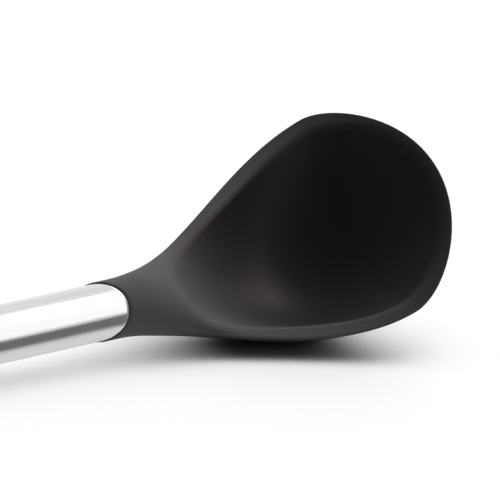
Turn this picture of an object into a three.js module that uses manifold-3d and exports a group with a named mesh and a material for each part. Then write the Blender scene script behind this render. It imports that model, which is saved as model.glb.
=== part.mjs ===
// Silicone ladle with a stainless tube handle, millimetres, +Z up.
// The ladle is drawn along its handle: x runs from the tail to the tip of the bowl and is zero where
// the neck starts to widen, y runs across the bowl, and z points out of the bowl's mouth.
// The whole ladle is then turned to the way it lies on a table, on one flank of the bowl and its tail.
import * as THREE from 'three';
import * as BufferGeometryUtils from 'three/addons/utils/BufferGeometryUtils.js';
import Module from 'manifold-3d';

// Handle tube
const tubeRadius = 10;
const tubeWall = 1;
const tubeLength = 185;
const tubeSides = 64;

// Slanted joint between tube and silicone: where it crosses the axis, how it slants, which way it faces
const jointAt = -6;
const jointSlope = 0.755;
const jointTurn = -34.7;

// Bowl and neck, seen from above
const headLength = 118.5;
const bowlHalfWidth = 44.9;
const widestAt = 92;
const neckReach = 32;
const flankReach = 30;
const shoulderReach = 10;
const tipReach = 26;

// Bowl and neck, seen from the side
const neckProud = 0.5;
const neckStraight = 6;
const neckBlend = 25;
const rimDip = 2;
const dipStart = 18;
const dipEnd = 40;
const rimCurve = 2.1;
const tipHeight = 43;
const keelDepth = 24.2;
const keelLowAt = 66;
const keelEnd = 77;
const keelRise = 1;
const keelLag = 0.28;
const crownStart = 8;
const crownEnd = 46;

// Outer wall and the corner at the rim
const wallFlare = 54;
const frontFlare = 70;
const flareStart = 12;
const flareEnd = 40;
const neckRoundness = 0.55;
const outerRoundness = 0.34;
const frontRoundness = 0.42;
const rimDrop = 1.6;
const cornerInset = 0.6;
const cornerTurn = 12;
const cornerPull = 0.7;

// Cavity: its rounded heel, the lip left around it, its low point and the soft fold along its edge
const heelAt = 23;
const heelRound = 32.5;
const lipHeel = 3.4;
const lipWide = 4.8;
const lipTip = 2.2;
const lipWidenStart = 35;
const lipWidenEnd = 70;
const lipNarrowStart = 95;
const lowAt = 68;
const lowHeight = -15;
const heelEase = 0.3;
const tipEase = 0.35;
const foldDepth = 1.8;

// Stiff core inside the silicone
const tangRadius = 4.5;
const tangLength = 27;
const tangReach = 14;
const spineStart = 9;
const spineEnd = 78;
const spineWidth = 7;
const spineRootThickness = 6;
const spineTipThickness = 1.4;
const spineTaperEnd = 44;

// Plug and pin that hold the core in the tube
const plugLength = 30;
const pinRadius = 1.5;
const pinInset = 18;
const pinEndCover = 0.8;

// Tail cap with its hanging eye
const spigotLength = 9;
const flangeThickness = 4;
const flangeRound = 1.5;
const eyeThickness = 4;
const eyeHalfWidth = 9.8;
const eyeReach = 13;
const eyeHoleRadius = 5;
const eyeRoot = 2;

// Clearances, and how far a cutting body runs past the piece it cuts
const seatGap = 0.3;
const jointGap = 0.4;
const cutOverrun = 1;

// How the ladle lies on the table
const restRoll = 33.5;
const restPitch = 2.7;

// Fineness of the surfaces
const flankSteps = 26;
const frontSteps = 14;
const outerSteps = 12;
const cornerSteps = 3;
const topSteps = 22;
const heelSteps = 12;
const spineSteps = 22;
const pinSides = 32;
const eyeSteps = 24;
const slopeStep = 0.01;
const weldDistance = 1e-4;

const wasm = await Module();
wasm.setup();

const tubeBore = tubeRadius - tubeWall;
const neckRadius = tubeRadius + neckProud;
const capRadius = tubeRadius;
const capStart = -tubeLength - seatGap;
const capEnd = capStart - flangeThickness;
const rollAngle = THREE.MathUtils.degToRad(restRoll);
const pitchAngle = THREE.MathUtils.degToRad(restPitch);
const flareAngle = THREE.MathUtils.degToRad(wallFlare);
const frontAngle = THREE.MathUtils.degToRad(frontFlare);
const cornerAngle = THREE.MathUtils.degToRad(cornerTurn);
const jointAngle = THREE.MathUtils.degToRad(jointTurn);
const tubeEnd = jointAt + jointSlope * tubeRadius + cutOverrun;
const sleeveStart = jointAt - jointSlope * neckRadius - cutOverrun;

// The plane of the joint, facing the bowl.
const jointNormal = new THREE.Vector3(
  1,
  -jointSlope * Math.sin(jointAngle),
  -jointSlope * Math.cos(jointAngle),
).normalize();
const jointOffset = jointAt * jointNormal.x;

// The table, as the ladle sees it: a plane under the cap's edge, and its mirror image for the other flank.
const tableUp = new THREE.Vector3(
  Math.sin(pitchAngle),
  Math.cos(pitchAngle) * Math.sin(rollAngle),
  Math.cos(pitchAngle) * Math.cos(rollAngle),
);
const tableLevel = (capEnd + flangeRound) * tableUp.x - capRadius * Math.cos(pitchAngle);

function ease(value, start, end) {
  return THREE.MathUtils.smoothstep(value, start, end);
}

function mix(from, to, share) {
  return THREE.MathUtils.lerp(from, to, share);
}

function solidOf(geometry) {
  const bare = geometry.index ? geometry.toNonIndexed() : geometry.clone();
  bare.deleteAttribute('normal');
  bare.deleteAttribute('uv');
  const merged = BufferGeometryUtils.mergeVertices(bare, weldDistance);
  const mesh = new wasm.Mesh({
    numProp: 3,
    vertProperties: new Float32Array(merged.attributes.position.array),
    triVerts: new Uint32Array(merged.index.array),
  });
  return new wasm.Manifold(mesh);
}

function geometryOf(solid) {
  const mesh = solid.getMesh();
  const geometry = new THREE.BufferGeometry();
  geometry.setAttribute('position', new THREE.BufferAttribute(new Float32Array(mesh.vertProperties), 3));
  geometry.setIndex(new THREE.BufferAttribute(new Uint32Array(mesh.triVerts), 1));
  geometry.computeVertexNormals();
  return geometry;
}

// A body of revolution about the handle's axis; the profile holds pairs of place along x and radius.
function turned(profile, sides) {
  const points = profile.map(([along, radius]) => new THREE.Vector2(radius, along));
  const geometry = new THREE.LatheGeometry(points, sides);
  geometry.rotateZ(-Math.PI / 2);
  return solidOf(geometry);
}

function rod(start, end, radius, sides) {
  return turned([[start, 0], [start, radius], [end, radius], [end, 0]], sides);
}

function crossRod(place, radius, halfLength, sides) {
  const geometry = new THREE.CylinderGeometry(radius, radius, 2 * halfLength, sides);
  geometry.translate(place, 0, 0);
  return solidOf(geometry);
}

// Plan of the rim on one side: a long flank from the neck to the widest point, then the rounded front.
const flankPlan = new THREE.CubicBezierCurve(
  new THREE.Vector2(0, neckRadius),
  new THREE.Vector2(neckReach, neckRadius),
  new THREE.Vector2(widestAt - flankReach, bowlHalfWidth),
  new THREE.Vector2(widestAt, bowlHalfWidth),
);
const frontPlan = new THREE.CubicBezierCurve(
  new THREE.Vector2(widestAt, bowlHalfWidth),
  new THREE.Vector2(widestAt + shoulderReach, bowlHalfWidth),
  new THREE.Vector2(headLength, tipReach),
  new THREE.Vector2(headLength, 0),
);

function rimHeight(along) {
  const share = Math.max(0, (along - neckStraight) / (headLength - neckStraight));
  const dip = rimDip * ease(along, dipStart, dipEnd);
  const rim = (tipHeight + rimDip) * share ** rimCurve - dip;
  return rim * ease(along, 0, neckBlend);
}

function keelHeight(along) {
  if (along > keelLowAt) {
    const share = (along - keelLowAt) / (keelEnd - keelLowAt);
    return keelRise * share * share - keelDepth;
  }
  return mix(-neckRadius, -keelDepth, ease(along, 0, keelLowAt));
}

function slopeOf(height, along) {
  return (height(along + slopeStep) - height(along - slopeStep)) / (2 * slopeStep);
}

function lipWidth(along) {
  const sides = mix(lipHeel, lipWide, ease(along, lipWidenStart, lipWidenEnd));
  return mix(sides, lipTip, ease(along, lipNarrowStart, headLength));
}

// Rows along the rim of one side: a point in plan and the direction that points out of the bowl there.
function rimRows() {
  const rows = [];
  const addRow = (rim, tangent) => {
    rows.push({ rim, outward: new THREE.Vector2(-tangent.y, tangent.x) });
  };
  for (let step = 0; step <= flankSteps; step += 1) {
    const share = step / flankSteps;
    addRow(flankPlan.getPoint(share), flankPlan.getTangent(share));
  }
  for (let step = 1; step <= frontSteps; step += 1) {
    const share = step / frontSteps;
    addRow(frontPlan.getPoint(share), frontPlan.getTangent(share));
  }
  return rows;
}

// The second value of a list of pairs, read at a place along the first.
function between(pairs, along) {
  const next = pairs.findIndex(([place]) => place >= along);
  if (next < 0) {
    return pairs.at(-1)[1];
  }
  if (next === 0) {
    return pairs[0][1];
  }
  const [start, low] = pairs[next - 1];
  const [end, high] = pairs[next];
  return mix(low, high, (along - start) / (end - start));
}

const rows = rimRows();
const flankWidths = rows.slice(0, flankSteps + 1).map(({ rim }) => [rim.x, rim.y]);

// The head's top with no cavity: the neck's round back, which sinks into the plane of the rim.
function uncutHeight(along, across) {
  const crown = neckRadius * (1 - ease(along, crownStart, crownEnd));
  const share = crown > 0 ? Math.min(1, across / between(flankWidths, along)) : 1;
  return rimHeight(along) + crown * Math.sqrt(1 - share * share);
}

// The cavity's lowest line, from the heel down to the low point and up to the tip.
const heelTop = uncutHeight(heelAt, 0);
const tipAt = headLength - lipTip;

function floorHeight(along) {
  if (along < lowAt) {
    const share = (lowAt - along) / (lowAt - heelAt);
    return mix(lowHeight, heelTop, share ** 2 * (1 + heelEase * (1 - share)));
  }
  const share = (along - lowAt) / (tipAt - lowAt);
  return mix(lowHeight, rimHeight(tipAt), share ** 2 * (1 + tipEase * (1 - share)));
}

// How sharply the cavity bends up to either side, so that its walls meet the top along its outline.
function cavityBends() {
  const outline = [];
  for (let step = 1; step <= heelSteps; step += 1) {
    const share = Math.cos(0.5 * Math.PI * step / heelSteps);
    const along = mix(heelRound, heelAt, share);
    const wide = between(flankWidths, along) - lipWidth(along);
    outline.push([along, wide * Math.sqrt(1 - share * share)]);
  }
  for (const { rim, outward } of rows.slice(0, -1)) {
    const lip = lipWidth(rim.x);
    const along = rim.x - outward.x * lip;
    if (along > outline.at(-1)[0]) {
      outline.push([along, rim.y - outward.y * lip]);
    }
  }
  return outline.map(([along, across]) => {
    const rise = uncutHeight(along, across) - floorHeight(along);
    return [along, rise / across ** 2];
  });
}

const bends = cavityBends();

// Height of the head's top: the lower of the uncut top and the cavity, with a soft fold between them.
function topHeight(along, across) {
  const uncut = uncutHeight(along, across);
  const bowl = floorHeight(along) + between(bends, along) * across ** 2;
  const near = Math.max(0, 1 - Math.abs(uncut - bowl) / foldDepth);
  return Math.min(uncut, bowl) - near * near * foldDepth / 4;
}

// One half-section of the head, from the keel up the wall, round the rim and in to the middle line.
function halfSection(rim, outward, keelAlong, front) {
  const flared = ease(rim.x, flareStart, flareEnd);
  const wallAngle = mix(Math.PI / 2, mix(flareAngle, frontAngle, front), flared);
  const keel = new THREE.Vector3(keelAlong, 0, keelHeight(keelAlong));
  const outerEdge = new THREE.Vector3(rim.x, rim.y, rimHeight(rim.x) - rimDrop * flared);
  const keelWay = new THREE.Vector3(outerEdge.x - keel.x, outerEdge.y, 0);
  const keelSpan = keelWay.length();
  keelWay.normalize();
  const wallUp = keelWay.clone().multiplyScalar(Math.cos(wallAngle));
  wallUp.z = Math.sin(wallAngle);
  keelWay.z = keelWay.x * slopeOf(keelHeight, keelAlong);
  const fullness = mix(neckRoundness, mix(outerRoundness, frontRoundness, front), flared);
  const outerReach = neckRoundness * (outerEdge.z - keel.z);
  const outerCurve = new THREE.CubicBezierCurve3(
    keel,
    keel.clone().addScaledVector(keelWay, fullness * keelSpan),
    outerEdge.clone().addScaledVector(wallUp, -outerReach),
    outerEdge,
  );

  const neckRise = neckRadius * Math.tan(cornerAngle / 2);
  const neckInset = neckRadius * (1 - Math.cos(cornerAngle));
  const rise = mix(neckRise, rimDrop / Math.sin(wallAngle), flared);
  const inset = mix(neckInset, cornerInset, flared);
  const corner = outerEdge.clone().addScaledVector(wallUp, rise);
  const topStart = new THREE.Vector3(corner.x - outward.x * inset, corner.y - outward.y * inset, 0);
  topStart.y = Math.max(0, topStart.y);
  topStart.z = topHeight(topStart.x, topStart.y);
  const cornerCurve = new THREE.CubicBezierCurve3(
    outerEdge,
    outerEdge.clone().lerp(corner, cornerPull),
    topStart.clone().lerp(corner, cornerPull),
    topStart,
  );
  const points = [
    ...outerCurve.getPoints(outerSteps),
    ...cornerCurve.getPoints(cornerSteps).slice(1),
  ];
  for (let step = 1; step <= topSteps; step += 1) {
    const angle = mix(cornerAngle, Math.PI / 2, step / topSteps);
    const share = 1 - Math.cos(angle) / Math.cos(cornerAngle);
    const along = mix(topStart.x, keelAlong, share);
    const across = step < topSteps ? mix(topStart.y, 0, share) : 0;
    points.push(new THREE.Vector3(along, across, topHeight(along, across)));
  }
  for (const point of points) {
    const sunk = tableLevel - (tableUp.x * point.x - tableUp.y * point.y + tableUp.z * point.z);
    if (sunk > 0) {
      point.x += tableUp.x * sunk;
      point.y = Math.max(0, point.y - tableUp.y * sunk);
      point.z += tableUp.z * sunk;
    }
  }
  return points;
}

// All half-sections, led by a straight sleeve that reaches back over the whole of the slanted joint.
function headSections() {
  const flankKeelEnd = widestAt * (1 - keelLag);
  const sections = rows.map(({ rim, outward }, row) => {
    const share = Math.max(0, (row - flankSteps) / frontSteps);
    const flankKeel = rim.x * (1 - keelLag * rim.x / widestAt);
    const keelAlong = share > 0 ? mix(flankKeelEnd, keelEnd, share) : flankKeel;
    return halfSection(rim, outward, keelAlong, ease(share, 0, 1));
  });
  const sleeve = sections[0].map((point) => new THREE.Vector3(sleeveStart, point.y, point.z));
  return [sleeve, ...sections];
}

// The head's skin: both mirrored halves of the half-sections, closed behind and cut to the joint.
function headSkin() {
  const sections = headSections();
  const last = sections.length - 1;
  const positions = [];
  const addTriangle = (a, b, c) => {
    for (const point of [a, b, c]) {
      positions.push(point.x, point.y, point.z);
    }
  };
  const flipped = (point) => new THREE.Vector3(point.x, -point.y, point.z);
  const addQuad = (a, b, c, d) => {
    addTriangle(a, b, c);
    addTriangle(a, c, d);
    addTriangle(flipped(a), flipped(c), flipped(b));
    addTriangle(flipped(a), flipped(d), flipped(c));
  };
  for (let row = 0; row < last; row += 1) {
    const near = sections[row];
    const far = sections[row + 1];
    for (let column = 0; column + 1 < near.length; column += 1) {
      addQuad(near[column], near[column + 1], far[column + 1], far[column]);
    }
  }
  const faceCentre = new THREE.Vector3(sleeveStart, 0, 0);
  const neckEnd = sections[0];
  for (let column = 0; column + 1 < neckEnd.length; column += 1) {
    addTriangle(faceCentre, neckEnd[column + 1], neckEnd[column]);
    addTriangle(faceCentre, flipped(neckEnd[column]), flipped(neckEnd[column + 1]));
  }
  const geometry = new THREE.BufferGeometry();
  geometry.setAttribute('position', new THREE.Float32BufferAttribute(positions, 3));
  return solidOf(geometry).trimByPlane(jointNormal.toArray(), jointOffset + jointGap);
}

// What the joint leaves of a body in or around the tube.
function cutToJoint(solid) {
  return solid.trimByPlane(jointNormal.clone().negate().toArray(), -jointOffset);
}

// The core: a round tang in the tube and the neck, and a spine that follows the bowl's floor.
function coreBody(grow) {
  const tang = rod(-tangLength - grow, tangReach + grow, tangRadius + grow, tubeSides);
  const upper = [];
  const lower = [];
  for (let step = 0; step <= spineSteps; step += 1) {
    const along = mix(spineStart, spineEnd, step / spineSteps);
    const middle = 0.5 * (keelHeight(along) + topHeight(along, 0));
    const taper = ease(along, tangReach, spineTaperEnd);
    const half = 0.5 * mix(spineRootThickness, spineTipThickness, taper) + grow;
    const stretch = along + (step === spineSteps ? grow : 0);
    upper.push(new THREE.Vector2(stretch, middle + half));
    lower.push(new THREE.Vector2(stretch, middle - half));
  }
  const side = new THREE.Shape([...lower, ...upper.reverse()]);
  const width = spineWidth + 2 * grow;
  const spine = new THREE.ExtrudeGeometry(side, { depth: width, bevelEnabled: false, steps: 1 });
  spine.translate(0, 0, -0.5 * width);
  spine.rotateX(Math.PI / 2);
  return tang.add(solidOf(spine));
}

function tailCap() {
  const spigotRadius = tubeBore - seatGap;
  const spigotEnd = capStart + seatGap + spigotLength;
  const collar = turned([
    [capEnd, 0],
    [capEnd, capRadius - flangeRound],
    [capEnd + flangeRound, capRadius],
    [capStart, capRadius],
    [capStart, spigotRadius],
    [spigotEnd, spigotRadius],
    [spigotEnd, 0],
  ], tubeSides);
  const eyeCentre = capEnd - eyeReach;
  const outline = new THREE.Shape();
  outline.moveTo(capEnd + eyeRoot, -eyeHalfWidth);
  outline.lineTo(capEnd + eyeRoot, eyeHalfWidth);
  outline.lineTo(eyeCentre, eyeHalfWidth);
  outline.absarc(eyeCentre, 0, eyeHalfWidth, Math.PI / 2, 1.5 * Math.PI, false);
  outline.closePath();
  const hole = new THREE.Path();
  hole.absarc(eyeCentre, 0, eyeHoleRadius, 0, 2 * Math.PI, true);
  outline.holes.push(hole);
  const eye = new THREE.ExtrudeGeometry(outline, {
    depth: eyeThickness,
    bevelEnabled: false,
    steps: 1,
    curveSegments: eyeSteps,
  });
  eye.translate(0, 0, -0.5 * eyeThickness);
  return collar.add(solidOf(eye));
}

const pinPlace = -pinInset;
const plugRadius = tubeBore - seatGap;
const pinHole = crossRod(pinPlace, pinRadius + seatGap, tubeRadius, pinSides);

const tubeSolid = cutToJoint(turned([
  [-tubeLength, tubeBore],
  [-tubeLength, tubeRadius],
  [tubeEnd, tubeRadius],
  [tubeEnd, tubeBore],
  [-tubeLength, tubeBore],
], tubeSides));
const headSolid = headSkin().subtract(coreBody(seatGap));
const coreSolid = coreBody(0).subtract(pinHole);
const plugSolid = cutToJoint(rod(-plugLength, tubeEnd, plugRadius, tubeSides))
  .subtract(rod(-plugLength - cutOverrun, tubeEnd + cutOverrun, tangRadius + seatGap, tubeSides))
  .subtract(pinHole);
const pinSolid = crossRod(pinPlace, pinRadius, plugRadius - pinEndCover, pinSides);

const silicone = new THREE.MeshStandardMaterial({ color: 0x2a2a2c, roughness: 0.55, metalness: 0 });
const steel = new THREE.MeshStandardMaterial({ color: 0xc9cacc, roughness: 0.3, metalness: 1 });
const nylon = new THREE.MeshStandardMaterial({ color: 0x1c1c1e, roughness: 0.6, metalness: 0 });
const pinSteel = new THREE.MeshStandardMaterial({ color: 0xb9babd, roughness: 0.35, metalness: 1 });

function piece(name, solid, material) {
  const mesh = new THREE.Mesh(geometryOf(solid), material);
  mesh.name = name;
  return mesh;
}

const ladle = new THREE.Group();
ladle.add(piece('silicone_head', headSolid, silicone));
ladle.add(piece('head_core', coreSolid, nylon));
ladle.add(piece('handle_tube', tubeSolid, steel));
ladle.add(piece('front_plug', plugSolid, nylon));
ladle.add(piece('lock_pin', pinSolid, pinSteel));
ladle.add(piece('tail_cap', tailCap(), steel));
ladle.quaternion.setFromEuler(new THREE.Euler(rollAngle, -pitchAngle, 0, 'YXZ'));

// The origin is on the table, under the middle of the ladle's box.
const model = new THREE.Group();
model.add(ladle);
model.updateMatrixWorld(true);
const box = new THREE.Box3().setFromObject(model, true);
const middle = box.getCenter(new THREE.Vector3());
ladle.position.set(-middle.x, -middle.y, -box.min.z);
model.updateMatrixWorld(true);

export default model;
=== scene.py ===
import math

import bmesh
import bpy
from mathutils import Matrix, Vector
from mathutils.geometry import interpolate_bezier


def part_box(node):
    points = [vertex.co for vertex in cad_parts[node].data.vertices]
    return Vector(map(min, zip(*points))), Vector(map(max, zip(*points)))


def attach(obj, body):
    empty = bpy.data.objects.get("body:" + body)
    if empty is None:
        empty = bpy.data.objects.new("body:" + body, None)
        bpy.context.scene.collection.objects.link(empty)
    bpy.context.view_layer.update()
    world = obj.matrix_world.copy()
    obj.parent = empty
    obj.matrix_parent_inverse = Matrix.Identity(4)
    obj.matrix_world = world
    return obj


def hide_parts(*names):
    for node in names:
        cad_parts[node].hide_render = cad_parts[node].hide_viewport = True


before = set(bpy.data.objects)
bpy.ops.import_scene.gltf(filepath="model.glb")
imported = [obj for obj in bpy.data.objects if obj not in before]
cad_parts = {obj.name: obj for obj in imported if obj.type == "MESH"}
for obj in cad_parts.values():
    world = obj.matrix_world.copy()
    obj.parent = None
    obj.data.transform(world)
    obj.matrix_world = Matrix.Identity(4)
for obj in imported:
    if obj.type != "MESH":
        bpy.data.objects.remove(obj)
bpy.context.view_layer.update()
scene = bpy.context.scene
print("frame loaded:", sorted(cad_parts))

# the ladle is drawn along its handle in millimetres, then laid on one flank of its bowl
mm = 0.001  # metres
lie = {
    "roll": 33.5,         # degrees about the handle
    "pitch": 2.7,         # degrees, nose up
    "tubeLength": 185.0,
    "tubeRadius": 10.0,
    "capEdge": -187.8,    # where the tail cap's edge meets the table, along the handle
    "pinAt": -18.0,       # the lock pin, along the handle
}
rollAngle = math.radians(lie["roll"])
pitchAngle = math.radians(lie["pitch"])
turn = Matrix.Rotation(-pitchAngle, 4, "Y") @ Matrix.Rotation(rollAngle, 4, "X")
pinLow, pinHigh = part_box("lock_pin")
neckEnd = (pinLow + pinHigh) / 2 - turn @ Vector((lie["pinAt"] * mm, 0, 0))
place = Matrix.Translation(neckEnd) @ turn @ Matrix.Scale(mm, 4)

# the tube is cut on a slant where the silicone begins, longest on the side that faces the viewer
joint = {"at": -6.0, "slope": 0.755, "turn": -34.7, "gap": 0.4}
jointTurn = math.radians(joint["turn"])
jointSide = Vector((0, math.sin(jointTurn), math.cos(jointTurn)))
jointNormal = (Vector((1, 0, 0)) - jointSide * joint["slope"]).normalized()
jointCentre = Vector((joint["at"], 0, 0))

seamNear = 0.002               # points this near become one where a shape closes on itself
touchNear = 0.001              # points this near to each other, or to a plane, touch
creaseFrom = math.radians(40)  # shading breaks at sharper edges than this


def ease(value, start, end):
    share = min(1.0, max(0.0, (value - start) / (end - start)))
    return share * share * (3 - 2 * share)


def mix(a, b, share):
    return a + (b - a) * share


class Wire:
    # one socket of a node tree; arithmetic on it adds Math nodes
    def __init__(self, tree, socket=None):
        self.tree = tree
        self.socket = socket

    def node(self, kind, settings=None, sockets=None, out=0):
        made = self.tree.nodes.new(kind)
        for key, value in (settings or {}).items():
            if key == "stops":  # a ramp's stops: place and grey
                while len(made.color_ramp.elements) < len(value):
                    made.color_ramp.elements.new(0.5)
                for stop, (spot, grey) in zip(made.color_ramp.elements, value):
                    stop.position = spot
                    stop.color = (grey, grey, grey, 1)
            else:
                setattr(made, key, value)
        for key, value in (sockets or {}).items():
            if isinstance(value, Wire):
                self.tree.links.new(value.socket, made.inputs[key])
            else:
                made.inputs[key].default_value = value
        return Wire(self.tree, made.outputs[out] if made.outputs else None)

    def math(self, operation, a, b=0.0):
        return self.node("ShaderNodeMath", {"operation": operation}, {0: a, 1: b})

    def __add__(self, other):
        return self.math("ADD", self, other)

    def __radd__(self, other):
        return self.math("ADD", other, self)

    def __sub__(self, other):
        return self.math("SUBTRACT", self, other)

    def __rsub__(self, other):
        return self.math("SUBTRACT", other, self)

    def __mul__(self, other):
        return self.math("MULTIPLY", self, other)

    def __rmul__(self, other):
        return self.math("MULTIPLY", other, self)

    def __truediv__(self, other):
        return self.math("DIVIDE", self, other)

    def __rtruediv__(self, other):
        return self.math("DIVIDE", other, self)


def newMaterial(name):
    material = bpy.data.materials.new(name)
    material.use_nodes = True
    material.node_tree.nodes.clear()
    return material, Wire(material.node_tree)


def ladleCoords(wire):
    # millimetres along the handle, across it and out of the mouth
    here = wire.node("ShaderNodeTexCoord", out="Object")
    return wire.node("ShaderNodeMapping", {"vector_type": "TEXTURE"}, {
        "Vector": here,
        "Location": neckEnd,
        "Rotation": turn.to_euler("XYZ"),
        "Scale": (mm, mm, mm),
    })


def axisOf(wire, coords, axis):
    return wire.node("ShaderNodeSeparateXYZ", {}, {"Vector": coords}, out=axis)


def rayIs(wire, kind):
    return wire.node("ShaderNodeLightPath", out=f"Is {kind} Ray")


def noise(wire, coords, scale, detail):
    return wire.node("ShaderNodeTexNoise", {}, {"Vector": coords, "Scale": scale, "Detail": detail})


def vary(texture, amount):
    return (texture - 0.5) * amount  # a noise lies about one half


def colourOf(value):
    return value if isinstance(value, Wire) else (*value, 1)


def blendColour(wire, share, first, second):
    sockets = {0: share, 6: colourOf(first), 7: colourOf(second)}
    return wire.node("ShaderNodeMix", {"data_type": "RGBA"}, sockets, out=2)


def bump(wire, height, distance, strength):
    return wire.node("ShaderNodeBump", {}, {"Height": height, "Distance": distance, "Strength": strength})


def fade(wire, value, span, first, last):
    # a soft step from the first level to the last across the span
    return wire.node("ShaderNodeMapRange", {"interpolation_type": "SMOOTHSTEP"}, {
        "Value": value, "From Min": span[0], "From Max": span[1], "To Min": first, "To Max": last})


def surface(wire, **sockets):
    named = {key.replace("_", " "): value for key, value in sockets.items()}
    shader = wire.node("ShaderNodeBsdfPrincipled", {}, named)
    wire.node("ShaderNodeOutputMaterial", {}, {"Surface": shader})


def siliconeMaterial():
    # black and smooth in the bowl; painted light makes its lip a little greyer and the neck greyer; the neck
    # is also duller
    look = {
        "dark": (0.0105, 0.0086, 0.0105), "worn": (0.0135, 0.0112, 0.0135),
        "lip": (0.04, 0.0362, 0.04), "neck": (0.072, 0.0675, 0.072),
        "roughness": 0.56, "neckRoughness": 0.85,
        "neckFade": (12.0, 72.0), "lean": 0.3,  # millimetres along, and how far the fade leans across
        "inside": 0.22,  # how much of the neck's painted light is missing away from the lip
        "cloudScale": 0.045, "cloudRough": 0.12,
        "grainScale": 5.0, "grainRough": 0.05, "grainDepth": 0.00004, "grainBump": 0.25,
        "refraction": 1.46, "specular": 0.6, "tint": (1.0, 0.87, 1.0, 1.0),
    }
    material, wire = newMaterial("blackSilicone")
    coords = ladleCoords(wire)
    cloud = noise(wire, coords, look["cloudScale"], 3.0)
    grain = noise(wire, coords, look["grainScale"], 2.0)
    lip = wire.node("ShaderNodeAttribute", {"attribute_name": "lip"}, out="Fac")
    slanted = axisOf(wire, coords, "X") + axisOf(wire, coords, "Y") * look["lean"]
    # painted light makes the neck greyer, less of it away from the lip; the same share makes the neck duller
    neck = fade(wire, slanted, look["neckFade"], 1, 0) * (1 - look["inside"] * (1 - lip))
    # painted light makes the lip greyer than the bowl
    bowl = blendColour(wire, lip, blendColour(wire, cloud, look["dark"], look["worn"]), look["lip"])
    roughness = look["roughness"] + neck * (look["neckRoughness"] - look["roughness"])
    surface(
        wire,
        Base_Color=blendColour(wire, neck, bowl, look["neck"]),
        Roughness=roughness + vary(cloud, look["cloudRough"]) + vary(grain, look["grainRough"]),
        IOR=look["refraction"],
        Specular_IOR_Level=look["specular"],
        Specular_Tint=look["tint"],
        Normal=bump(wire, grain, look["grainDepth"], look["grainBump"]),
    )
    return material


def brushing(wire, coords, along, across, detail):
    factors = (along, across, across)
    drawnOut = wire.node("ShaderNodeVectorMath", {"operation": "MULTIPLY"}, {0: coords, 1: factors})
    return noise(wire, drawnOut, 1.0, detail)


def steelMaterial(name, brushAlong, brushAcross):
    # brushed steel: fine hairs, and bands that are shorter and wider
    look = {
        "bright": (0.78, 0.763, 0.78), "dull": (0.5, 0.489, 0.5), "bandTone": 0.6,
        "metal": 0.66,  # the brushing scatters the rest
        "roughness": 0.11, "hairRough": 0.16, "bandRough": 0.08,
        "bandAlong": 1.5, "bandAcross": 0.2,
        "hairRelief": 0.3, "depth": 0.00004, "bump": 0.7,
    }
    material, wire = newMaterial(name)
    coords = ladleCoords(wire)
    hair = brushing(wire, coords, brushAlong, brushAcross, 4.0)
    band = brushing(wire, coords, brushAlong * look["bandAlong"], brushAcross * look["bandAcross"], 2.0)
    tone = hair * (1 - look["bandTone"]) + band * look["bandTone"]
    surface(
        wire,
        Base_Color=blendColour(wire, tone, look["dull"], look["bright"]),
        Metallic=look["metal"],
        Roughness=look["roughness"] + vary(hair, look["hairRough"]) + vary(band, look["bandRough"]),
        Normal=bump(wire, hair * look["hairRelief"] + band, look["depth"], look["bump"]),
    )
    return material


def nylonMaterial():
    look = {
        "dark": (0.011, 0.011, 0.012), "light": (0.02, 0.02, 0.022), "roughness": 0.5,
        "speckleScale": 2.2, "speckleRough": 0.2, "depth": 0.00005, "bump": 0.3,
    }
    material, wire = newMaterial("darkNylon")
    speckle = noise(wire, ladleCoords(wire), look["speckleScale"], 3.0)
    surface(
        wire,
        Base_Color=blendColour(wire, speckle, look["dark"], look["light"]),
        Roughness=look["roughness"] + vary(speckle, look["speckleRough"]),
        Normal=bump(wire, speckle, look["depth"], look["bump"]),
    )
    return material


def everything(bm):
    return bm.verts[:] + bm.edges[:] + bm.faces[:]


def cutAcross(bm, spot, normal, **cleared):
    bmesh.ops.bisect_plane(
        bm, geom=everything(bm), dist=touchNear, plane_co=spot, plane_no=normal, **cleared)


def spinProfile(bm, profile, steps, closed):
    verts = [bm.verts.new((along, radius, 0)) for along, radius in profile]
    pairs = list(zip(verts, verts[1:])) + ([(verts[-1], verts[0])] if closed else [])
    edges = [bm.edges.new(pair) for pair in pairs]
    bmesh.ops.spin(
        bm, geom=verts + edges, cent=(0, 0, 0), axis=(1, 0, 0), angle=2 * math.pi,
        steps=steps, use_merge=True)
    bmesh.ops.remove_doubles(bm, verts=bm.verts, dist=seamNear)


def sharpEdges(bm, degrees):
    bm.normal_update()
    limit = math.radians(degrees)
    return [edge for edge in bm.edges if edge.is_manifold and edge.calc_face_angle(0) > limit]


def breakEdges(bm, edges, size, segments):
    bmesh.ops.bevel(
        bm, geom=edges, offset=size, offset_type="OFFSET", segments=segments, profile=0.5,
        affect="EDGES", material=-1)


def makePiece(name, bm, material, slot, *nodes):
    bmesh.ops.remove_doubles(bm, verts=bm.verts, dist=touchNear)
    bmesh.ops.recalc_face_normals(bm, faces=bm.faces)
    bmesh.ops.transform(bm, matrix=place, verts=bm.verts)
    mesh = bpy.data.meshes.new(name)
    bm.to_mesh(mesh)
    bm.free()
    mesh.shade_smooth()
    mesh.set_sharp_from_angle(angle=creaseFrom)
    mesh.materials.append(material)
    piece = bpy.data.objects.new(name, mesh)
    scene.collection.objects.link(piece)
    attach(piece, "root")
    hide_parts(*nodes)
    print("made", name, len(mesh.polygons), "faces")
    return piece


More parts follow.
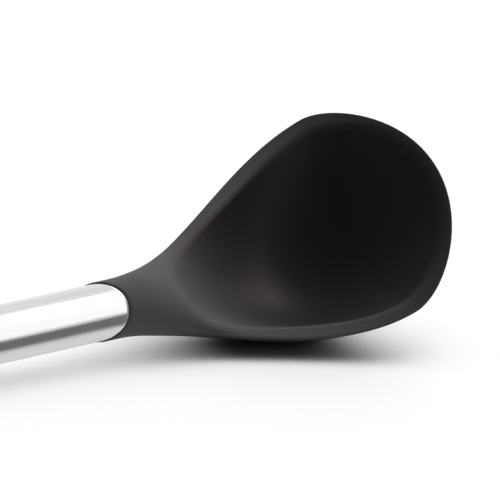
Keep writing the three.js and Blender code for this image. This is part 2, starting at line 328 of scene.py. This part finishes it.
# the silicone head: both halves of a skin of half-sections, from the keel over the rim to the cavity's middle
head = {
    "length": 118.5, "halfWidth": 44.9, "widestAt": 92.0,
    "neckReach": 32.0, "flankReach": 30.0, "shoulderReach": 10.0, "tipReach": 26.0,  # the rim's curves
    "neckRadius": 10.5, "neckStraight": 6.0, "neckBlend": 25.0, "sleeve": 18.0,
    "rimDip": 2.0, "dipStart": 18.0, "dipEnd": 40.0, "rimCurve": 2.1, "tipHeight": 43.0,
    "crownStart": 8.0, "crownEnd": 46.0,  # the neck's round back sinks away between these
    "keelDepth": 24.2, "keelLowAt": 66.0, "keelEnd": 77.0, "keelRise": 1.0, "keelLag": 0.28,
    "flare": 54.0, "frontFlare": 70.0, "flareStart": 12.0, "flareEnd": 40.0,
    "rimDrop": 1.6, "cornerInset": 0.6, "cornerAngle": 12.0, "cornerPull": 0.7,
    "neckRound": 0.55, "outerRound": 0.34, "frontRound": 0.42,
    "edgeRadius": 0.4, "edgeRing": 1.0, "tangRadius": 4.8, "tangDepth": 14.3,
    "flankSteps": 72, "frontSteps": 44, "outerSteps": 28, "cornerSteps": 6, "topSteps": 60,
}
# the cavity: an egg-shaped bowl let into the top, with a soft fold along its edge
cavity = {
    "heelAt": 23.0, "heelRound": 32.5, "heelSteps": 32, "heelSpace": 1.0,
    "lipHeel": 3.4, "lipWide": 4.8, "lipTip": 2.2,
    "widenStart": 35.0, "widenEnd": 70.0, "narrowStart": 95.0,
    "lowAt": 68.0, "lowHeight": -15.0, "heelEase": 0.3, "tipEase": 0.35, "fold": 1.8,
}
# how much of the lip's painted light shows: it ends within the fold and fades towards the tip
paintedLipTone = {"foldStart": 0.25, "fadeStart": 76.0, "fadeEnd": 110.5, "tip": 0.1}

tableUp = turn.inverted() @ Vector((0, 0, 1))
tableUp = Vector((tableUp.x, -abs(tableUp.y), tableUp.z))  # the same table under either flank
tableLevel = lie["capEdge"] * tableUp.x - lie["tubeRadius"] * math.cos(pitchAngle)

flankPlan = interpolate_bezier(
    Vector((0, head["neckRadius"], 0)),
    Vector((head["neckReach"], head["neckRadius"], 0)),
    Vector((head["widestAt"] - head["flankReach"], head["halfWidth"], 0)),
    Vector((head["widestAt"], head["halfWidth"], 0)), head["flankSteps"] + 1)
frontPlan = interpolate_bezier(
    Vector((head["widestAt"], head["halfWidth"], 0)),
    Vector((head["widestAt"] + head["shoulderReach"], head["halfWidth"], 0)),
    Vector((head["length"], head["tipReach"], 0)),
    Vector((head["length"], 0, 0)), head["frontSteps"] + 1)
rimPlan = list(flankPlan) + list(frontPlan[1:])
flankWidths = [(point.x, point.y) for point in flankPlan]


def outwardAt(row):
    last = len(rimPlan) - 1
    if row == 0:
        return Vector((0, 1, 0))
    if row == last:
        return Vector((1, 0, 0))
    tangent = rimPlan[row + 1] - rimPlan[row - 1]
    return Vector((-tangent.y, tangent.x, 0)).normalized()


def between(places, along):
    # the second value of a list of pairs, read at a place along the first
    for (x0, y0), (x1, y1) in zip(places, places[1:]):
        if along <= x1:
            return mix(y0, y1, max(0.0, (along - x0) / (x1 - x0)))
    return places[-1][1]


def rimHeight(along):
    share = max(0.0, (along - head["neckStraight"]) / (head["length"] - head["neckStraight"]))
    dip = head["rimDip"] * ease(along, head["dipStart"], head["dipEnd"])
    rim = (head["tipHeight"] + head["rimDip"]) * share ** head["rimCurve"] - dip
    return rim * ease(along, 0, head["neckBlend"])


def keelHeight(along):
    if along > head["keelLowAt"]:
        share = (along - head["keelLowAt"]) / (head["keelEnd"] - head["keelLowAt"])
        return head["keelRise"] * share * share - head["keelDepth"]
    return mix(-head["neckRadius"], -head["keelDepth"], ease(along, 0, head["keelLowAt"]))


def slopeOf(height, along, tiny=0.01):
    return (height(along + tiny) - height(along - tiny)) / (2 * tiny)


def uncutHeight(x, y):
    # the top with no cavity: the neck's round back, sinking into the plane of the rim
    crown = head["neckRadius"] * (1 - ease(x, head["crownStart"], head["crownEnd"]))
    if crown <= 0:
        return rimHeight(x)
    share = min(1.0, abs(y) / between(flankWidths, x))
    return rimHeight(x) + crown * math.sqrt(1 - share * share)


def lipWidth(along):
    widened = ease(along, cavity["widenStart"], cavity["widenEnd"])
    sides = mix(cavity["lipHeel"], cavity["lipWide"], widened)
    return mix(sides, cavity["lipTip"], ease(along, cavity["narrowStart"], head["length"]))


def floorHeight(along):
    # the cavity's lowest line, from the heel down to the low point and up to the tip
    heelTop = uncutHeight(cavity["heelAt"], 0)
    tipAt = head["length"] - cavity["lipTip"]
    if along < cavity["lowAt"]:
        share = (cavity["lowAt"] - along) / (cavity["lowAt"] - cavity["heelAt"])
        return mix(cavity["lowHeight"], heelTop, share ** 2 * (1 + cavity["heelEase"] * (1 - share)))
    share = (along - cavity["lowAt"]) / (tipAt - cavity["lowAt"])
    return mix(cavity["lowHeight"], rimHeight(tipAt), share ** 2 * (1 + cavity["tipEase"] * (1 - share)))


def cavityBends():
    # how sharply the cavity bends up to either side, so that its walls meet the top along its outline;
    # the outline's two ends are left out, because they lie on the middle line
    outline = []
    for step in range(2, cavity["heelSteps"] + 1):
        along = mix(cavity["heelRound"], cavity["heelAt"], math.cos(step / cavity["heelSteps"] * math.pi / 2))
        share = (cavity["heelRound"] - along) / (cavity["heelRound"] - cavity["heelAt"])
        wide = between(flankWidths, along) - lipWidth(along)
        outline.append(Vector((along, wide * math.sqrt(1 - share * share), 0)))
    for row, rim in enumerate(rimPlan[:-2]):
        if rim.x > cavity["heelRound"] + cavity["heelSpace"]:
            outline.append(rim - outwardAt(row) * lipWidth(rim.x))
    return [(spot.x, (uncutHeight(spot.x, spot.y) - floorHeight(spot.x)) / spot.y ** 2) for spot in outline]


bends = cavityBends()


def topHeight(x, y):
    uncut = uncutHeight(x, y)
    bowl = floorHeight(x) + between(bends, x) * y * y
    near = max(0.0, 1 - abs(uncut - bowl) / cavity["fold"])
    return min(uncut, bowl) - near * near * cavity["fold"] / 4  # a smooth minimum


def halfSection(rim, outward, keelAlong, front):
    flared = ease(rim.x, head["flareStart"], head["flareEnd"])
    wallAngle = mix(math.pi / 2, math.radians(mix(head["flare"], head["frontFlare"], front)), flared)
    keel = Vector((keelAlong, 0, keelHeight(keelAlong)))
    outerEdge = Vector((rim.x, rim.y, rimHeight(rim.x) - head["rimDrop"] * flared))
    keelWay = Vector((outerEdge.x - keel.x, outerEdge.y, 0))
    span = keelWay.length
    keelWay.normalize()
    wallUp = keelWay * math.cos(wallAngle) + Vector((0, 0, math.sin(wallAngle)))
    keelWay.z = keelWay.x * slopeOf(keelHeight, keelAlong)
    fullness = mix(head["neckRound"], mix(head["outerRound"], head["frontRound"], front), flared)
    reach = head["neckRound"] * (outerEdge.z - keel.z)
    points = list(interpolate_bezier(
        keel, keel + keelWay * fullness * span, outerEdge - wallUp * reach, outerEdge,
        head["outerSteps"] + 1))

    # round the outer corner onto the top, then run in to the middle line
    turnIn = math.radians(head["cornerAngle"])
    rise = mix(head["neckRadius"] * math.tan(turnIn / 2), head["rimDrop"] / math.sin(wallAngle), flared)
    corner = outerEdge + wallUp * rise
    inset = mix(head["neckRadius"] * (1 - math.cos(turnIn)), head["cornerInset"], flared)
    start = corner - outward * inset
    start.z = topHeight(start.x, start.y)
    pull = head["cornerPull"]
    points += interpolate_bezier(
        outerEdge, mix(outerEdge, corner, pull), mix(start, corner, pull), start, head["cornerSteps"] + 1)[1:]
    for step in range(1, head["topSteps"] + 1):
        angle = mix(turnIn, math.pi / 2, step / head["topSteps"])
        spot = mix(start, Vector((keelAlong, 0, 0)), 1 - math.cos(angle) / math.cos(turnIn))
        spot.z = topHeight(spot.x, spot.y)
        points.append(spot)
    for point in points:  # what would sink below the table is pressed flat onto it
        sunk = tableLevel - tableUp.dot(point)
        if sunk > 0:
            point += tableUp * sunk
            point.y = max(0.0, point.y)
    return points


def headSections():
    flankKeelEnd = head["widestAt"] * (1 - head["keelLag"])
    sections = []
    for row, rim in enumerate(rimPlan):
        share = max(0.0, (row - head["flankSteps"]) / head["frontSteps"])
        lag = head["keelLag"] * rim.x / head["widestAt"]
        keelAlong = mix(flankKeelEnd, head["keelEnd"], share) if share > 0 else rim.x * (1 - lag)
        sections.append(halfSection(rim, outwardAt(row), keelAlong, ease(share, 0, 1)))
    sections.insert(0, [point - Vector((head["sleeve"], 0, 0)) for point in sections[0]])
    return sections


def paintedLipShare(point):
    # the lip is what the cavity leaves of the top; it gets the painted light
    sunk = uncutHeight(point.x, point.y) - point.z
    left = 1 - ease(sunk, cavity["fold"] * paintedLipTone["foldStart"], cavity["fold"])
    return left * mix(1, paintedLipTone["tip"], ease(point.x, paintedLipTone["fadeStart"], paintedLipTone["fadeEnd"]))


def headSkin():
    sections = headSections()
    rows = len(sections) - 1
    columns = len(sections[0]) - 1
    cornerEnd = head["outerSteps"] + head["cornerSteps"]
    bm = bmesh.new()
    bmesh.ops.create_grid(bm, x_segments=rows, y_segments=columns, size=1.0)
    lip = bm.verts.layers.float.new("lip")
    for vert in bm.verts:  # each point of the sheet goes to its place on the skin
        row = round((vert.co.x + 1) / 2 * rows)
        column = round((vert.co.y + 1) / 2 * columns)
        vert.co = sections[row][column]
        # the top gets the lip's painted light, and the rounded outer corner all of it, a painted highlight
        # line
        if column > cornerEnd:
            vert[lip] = paintedLipShare(vert.co)
        elif column > head["outerSteps"]:
            vert[lip] = 1
    bmesh.ops.mirror(bm, geom=everything(bm), axis="Y", merge_dist=seamNear)
    bmesh.ops.remove_doubles(bm, verts=bm.verts, dist=seamNear)
    return bm


def endNeck(bm):
    # the neck's slanted end: a rounded edge, a flat face and the socket for the core's tang
    edgeRadius = head["edgeRadius"]
    halfway = 0.7  # the middle of the edge's quarter round
    face = jointCentre + jointNormal * joint["gap"]
    cutAcross(bm, face + jointNormal * edgeRadius, jointNormal, clear_inner=True)
    cutAcross(bm, face + jointNormal * head["edgeRing"], jointNormal)  # keeps the shading beyond it straight
    rim = [edge for edge in bm.edges if edge.is_boundary]
    for back, radius, depth in (
        (halfway, head["neckRadius"] - (1 - halfway) * edgeRadius, None),
        (1, head["neckRadius"] - edgeRadius, None),
        (1, head["tangRadius"], None),
        (1, head["tangRadius"], head["tangDepth"]),
    ):
        grown = bmesh.ops.extrude_edge_only(bm, edges=rim)["geom"]
        rim = [part for part in grown if isinstance(part, bmesh.types.BMEdge)]
        level = face + jointNormal * edgeRadius * (1 - back)
        for vert in {v for edge in rim for v in edge.verts}:
            spoke = Vector((0, vert.co.y, vert.co.z)).normalized() * radius
            spoke.x = depth or level.x - jointNormal.dot(spoke) / jointNormal.x
            vert.co = spoke
    bmesh.ops.edgeloop_fill(bm, edges=rim)


def makeHead(material):
    bm = headSkin()
    endNeck(bm)
    makePiece("silicone_bowl", bm, material, "silicone", "silicone_head")


# the handle: a plain round tube, slanted at the head and square at the tail, with its edges just broken
tube = {"wall": 1.0, "edge": 0.25, "edgeSteps": 3, "sharpFrom": 45.0, "ring": 0.8, "steps": 160}


def makeTube(material):
    outside = lie["tubeRadius"]
    inside = outside - tube["wall"]
    tail = Vector((-lie["tubeLength"], 0, 0))
    bm = bmesh.new()
    spinProfile(bm, [
        (tail.x, inside), (tail.x, outside), (outside, outside), (outside, inside),
    ], tube["steps"], True)
    cutAcross(bm, jointCentre, jointNormal, clear_outer=True)
    bmesh.ops.bridge_loops(bm, edges=[edge for edge in bm.edges if edge.is_boundary])
    bmesh.ops.recalc_face_normals(bm, faces=bm.faces)
    breakEdges(bm, sharpEdges(bm, tube["sharpFrom"]), tube["edge"], tube["edgeSteps"])
    # a ring just inside either end keeps the shading of the long faces straight
    for end, inward in ((jointCentre, -jointNormal), (tail, Vector((1, 0, 0)))):
        cutAcross(bm, end + inward * tube["ring"], inward)
    return makePiece("steel_tube", bm, material, "steel", "handle_tube")


# the tail cap: a turned collar with a spigot in the tube, and a flat hanging eye
cap = {
    "gap": 0.3, "flange": 4.0, "round": 1.5, "roundSteps": 6, "spigot": 9.0,
    "edge": 0.2, "edgeSteps": 2, "sharpFrom": 60.0, "ring": 0.4, "steps": 128,
    "eyeHalf": 9.8, "eyeReach": 13.0, "eyeHole": 5.0, "eyeThick": 4.0, "eyeRoot": 2.0,
    "eyeEdge": 0.6, "eyeEdgeSteps": 3, "eyeClear": 0.5,  # nearer to the collar the eye's edges stay sharp
}


def turnCollar(bm, start, end):
    outside = lie["tubeRadius"]
    spigot = outside - tube["wall"] - cap["gap"]
    spigotEnd = start + cap["gap"] + cap["spigot"]
    ringAt = cap["round"] + cap["ring"]
    spinProfile(bm, [
        (end, 0), (end, outside - ringAt), (end, outside), (end + ringAt, outside),
        (start - cap["ring"], outside), (start, outside),
        (start, spigot), (spigotEnd, spigot), (spigotEnd, 0),
    ], cap["steps"], False)
    bmesh.ops.recalc_face_normals(bm, faces=bm.faces)
    sharp = sharpEdges(bm, cap["sharpFrom"])
    nose = [edge for edge in sharp if all(abs(v.co.x - end) < touchNear for v in edge.verts)]
    breakEdges(bm, nose, cap["round"], cap["roundSteps"])
    breakEdges(bm, sharpEdges(bm, cap["sharpFrom"]), cap["edge"], cap["edgeSteps"])


def addEye(bm, end):
    collar = set(bm.verts)
    outer = bmesh.ops.create_circle(bm, segments=cap["steps"], radius=cap["eyeHalf"])["verts"]
    for vert in outer:  # the half towards the collar is drawn out into the eye's straight root
        if vert.co.x > touchNear:
            vert.co.x = cap["eyeReach"] + cap["eyeRoot"] * vert.co.x / cap["eyeHalf"]
    hole = bmesh.ops.create_circle(bm, segments=cap["steps"], radius=cap["eyeHole"])["verts"]
    rings = {edge for vert in outer + hole for edge in vert.link_edges}
    plate = bmesh.ops.bridge_loops(bm, edges=list(rings))["faces"]
    raised = bmesh.ops.extrude_face_region(bm, geom=plate, use_keep_orig=True)["geom"]
    lifted = [part for part in raised if isinstance(part, bmesh.types.BMVert)]
    bmesh.ops.translate(bm, vec=(0, 0, cap["eyeThick"]), verts=lifted)
    eye = [vert for vert in bm.verts if vert not in collar]
    bmesh.ops.translate(bm, vec=(end - cap["eyeReach"], 0, -cap["eyeThick"] / 2), verts=eye)
    bmesh.ops.recalc_face_normals(bm, faces=[face for face in bm.faces if face.verts[0] not in collar])
    corners = [
        edge for edge in sharpEdges(bm, cap["sharpFrom"])
        if edge.verts[0] not in collar and edge.verts[0].co.x < end - cap["eyeClear"]
    ]
    breakEdges(bm, corners, cap["eyeEdge"], cap["eyeEdgeSteps"])
    bm.normal_update()
    upright = 0.999  # of a flat face's normal
    flats = [
        face for face in bm.faces
        if abs(face.normal.z) > upright and not collar.intersection(face.verts)
    ]
    bmesh.ops.inset_region(bm, faces=flats, thickness=cap["ring"], use_even_offset=True, use_boundary=True)


def makeCap(material):
    start = -lie["tubeLength"] - cap["gap"]
    end = start - cap["flange"]
    bm = bmesh.new()
    turnCollar(bm, start, end)
    addEye(bm, end)
    return makePiece("tail_eye_cap", bm, material, "steel", "tail_cap")


silicone = siliconeMaterial()
brushedSteel = steelMaterial("brushedSteel", brushAlong=0.03, brushAcross=7.0)
capSteel = steelMaterial("capSteel", brushAlong=0.6, brushAcross=2.0)
nylon = nylonMaterial()
print("materials ready")
makeHead(silicone)
steelPieces = (makeTube(brushedSteel), makeCap(capSteel))
for node, material in (("head_core", nylon), ("front_plug", nylon), ("lock_pin", capSteel)):
    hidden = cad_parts[node]  # inside the silicone and the tube, kept as drawn
    hidden.data.materials.clear()
    hidden.data.materials.append(material)

# a white table top; mirrors see a painted reflection: a slanted band, light with a dark stripe, and the
# bowl's shadow
table = {
    "size": 4.0, "white": 0.95, "roughness": 0.9,
    "mottle": 0.01, "mottleScale": 3.0, "mottleRough": 0.05,
    "reach": (-0.16, 0.02),  # metres across the handle
    "mirrored": (  # share of the reach, level of the painted reflection
        (0.0, 1.1), (0.05, 1.1), (0.3, 0.03), (0.81, 0.03), (0.87, 1.1), (0.93, 1.1), (1.0, 0.6),
    ),
    "slant": 0.52, "toLeft": (-0.13, -0.08), "toRight": (0.06, 0.085),  # the band's ends, along the handle
    "underBowl": (0.075, 0.095), "beside": (-0.06, -0.045),  # where the shadow is mirrored
    "paintedLight": 0.43, "paintedLightEnd": (0.042, 0.092),  # painted light lightens the shadow along the handle
}


def makeTable():
    bm = bmesh.new()
    bmesh.ops.create_grid(bm, x_segments=1, y_segments=1, size=table["size"])
    mesh = bpy.data.meshes.new("table_top")
    bm.to_mesh(mesh)
    bm.free()
    material, wire = newMaterial("whiteTable")
    here = wire.node("ShaderNodeTexCoord", out="Object")
    lengthwise = axisOf(wire, here, "X")
    across = axisOf(wire, here, "Y")
    mottle = noise(wire, here, table["mottleScale"], 2.0)
    white = table["white"]
    whiter = white + table["mottle"]
    top = wire.node("ShaderNodeBsdfPrincipled", {}, {
        "Base Color": blendColour(wire, mottle, (white, white, white), (whiter, whiter, whiter)),
        "Roughness": table["roughness"] + vary(mottle, table["mottleRough"]),
        "Specular IOR Level": 0.0,
    })

    # what mirrors show of it: a painted reflection, except where the bowl's shadow is mirrored
    first, last = table["reach"]
    reached = (across - first) / (last - first)
    paintedStripe = wire.node("ShaderNodeValToRGB", {"stops": table["mirrored"]}, {0: reached})
    slanted = lengthwise + across * table["slant"]
    band = fade(wire, slanted, table["toLeft"], 0, 1) * fade(wire, slanted, table["toRight"], 1, 0)
    drawn = wire.node("ShaderNodeEmission", {}, {"Color": blendColour(wire, band, (0, 0, 0), paintedStripe)})
    inShadow = fade(wire, lengthwise, table["underBowl"], 0, 1) * fade(wire, across, table["beside"], 0, 1)
    share = rayIs(wire, "Glossy") * (1 - inShadow)
    shader = wire.node("ShaderNodeMixShader", {}, {0: share, 1: top, 2: drawn})

    # what the viewer sees of it: painted white that lightens the shadow along the handle
    paintedWhite = wire.node("ShaderNodeEmission")
    share = rayIs(wire, "Camera") * fade(wire, lengthwise, table["paintedLightEnd"], table["paintedLight"], 0)
    shader = wire.node("ShaderNodeMixShader", {}, {0: share, 1: shader, 2: paintedWhite})
    wire.node("ShaderNodeOutputMaterial", {}, {"Surface": shader})
    mesh.materials.append(material)
    floor = bpy.data.objects.new("table_top", mesh)
    scene.collection.objects.link(floor)


# the camera is far off with a long lens: metres from the neck's end, then degrees, then millimetres
shot = {
    "fromNeck": (-0.954948, -1.707512, 0.638775),
    "azimuth": -30.614, "elevation": 17.505, "roll": 0.428,
    "lens": 426.67, "sensor": 36.0,
    "clip": (0.05, 50.0),  # metres
}


def makeCamera():
    data = bpy.data.cameras.new("shot")
    data.sensor_width = shot["sensor"]
    data.lens = shot["lens"]
    data.clip_start, data.clip_end = shot["clip"]
    camera = bpy.data.objects.new("shot", data)
    scene.collection.objects.link(camera)
    facing = (
        Matrix.Rotation(math.radians(shot["azimuth"]), 4, "Z")
        @ Matrix.Rotation(math.radians(90 - shot["elevation"]), 4, "X")
        @ Matrix.Rotation(math.radians(shot["roll"]), 4, "Z")
    )
    camera.matrix_world = Matrix.Translation(neckEnd + Vector(shot["fromNeck"])) @ facing
    scene.camera = camera


# studio light: a dark room with a few soft lights. A strip that only mirrors show arches over the handle,
# bright at the front and dimmer at the back. Two soft boxes light the steel alone, for views from other sides
studio = {
    "room": 0.02, "softness": 9.0,
    "lights": (  # degrees round to the right from the viewer, degrees up, level
        (128, 48, 1.85), (95, 50, 0.4), (112, 65, 2.75), (182, 20, 2.2), (215, 60, 0.45),
    ),
    "stripFront": 2.1, "stripBack": 1.05, "stripTurn": (-0.36, -0.24), "stripEdge": (0.042, 0.07),
    "boxes": ((300, 20, 6.0), (245, 25, 6.0)),  # degrees as above, watts
    "boxSize": 1.2, "boxAway": 2.0,
}


def towards(side, up):
    spin = Matrix.Rotation(math.radians(shot["azimuth"] + side), 3, "Z")
    return spin @ Matrix.Rotation(math.radians(-up), 3, "X") @ Vector((0, -1, 0))


def makeLight():
    world = bpy.data.worlds.new("studio")
    scene.world = world
    world.use_nodes = True
    world.node_tree.nodes.clear()
    wire = Wire(world.node_tree)
    way = wire.node("ShaderNodeTexCoord", out="Generated")

    def along(direction):
        sockets = {0: way, 1: direction}
        return wire.node("ShaderNodeVectorMath", {"operation": "DOT_PRODUCT"}, sockets, out="Value")

    room = studio["room"]
    for side, up, level in studio["lights"]:
        room = wire.math("EXPONENT", (along(towards(side, up)) - 1) * studio["softness"]) * level + room
    # a round tube mirrors the viewer's rays onto a cone about the handle
    handle = (turn @ Vector((1, 0, 0))).normalized()
    mirrored = -Vector(shot["fromNeck"]).normalized().dot(handle)
    strip = fade(wire, wire.math("ABSOLUTE", along(handle) - mirrored), studio["stripEdge"], 1, 0)
    forward = along(towards(0, 0))
    stripLevel = fade(wire, forward, studio["stripTurn"], studio["stripBack"], studio["stripFront"])
    grey = room + (stripLevel - room) * strip * rayIs(wire, "Glossy")
    seen = rayIs(wire, "Camera")
    level = grey * (1 - seen) + seen  # the viewer sees plain white
    background = wire.node("ShaderNodeBackground", {}, {"Color": (1, 1, 1, 1), "Strength": level})
    wire.node("ShaderNodeOutputWorld", {}, {"Surface": background})


def makeBoxes():
    steelOnly = bpy.data.collections.new("steelOnly")
    for piece in steelPieces:
        steelOnly.objects.link(piece)
    for side, up, watts in studio["boxes"]:
        data = bpy.data.lights.new("softBox", "AREA")
        data.size = studio["boxSize"]
        data.energy = watts
        box = bpy.data.objects.new("softBox", data)
        scene.collection.objects.link(box)
        box.location = towards(side, up) * studio["boxAway"]
        box.rotation_euler = towards(side, up).to_track_quat("Z", "Y").to_euler()
        box.visible_camera = False
        box.light_linking.receiver_collection = steelOnly


makeTable()
makeCamera()
makeLight()
makeBoxes()
scene.view_settings.view_transform = "Standard"
print("stage, camera and light ready")
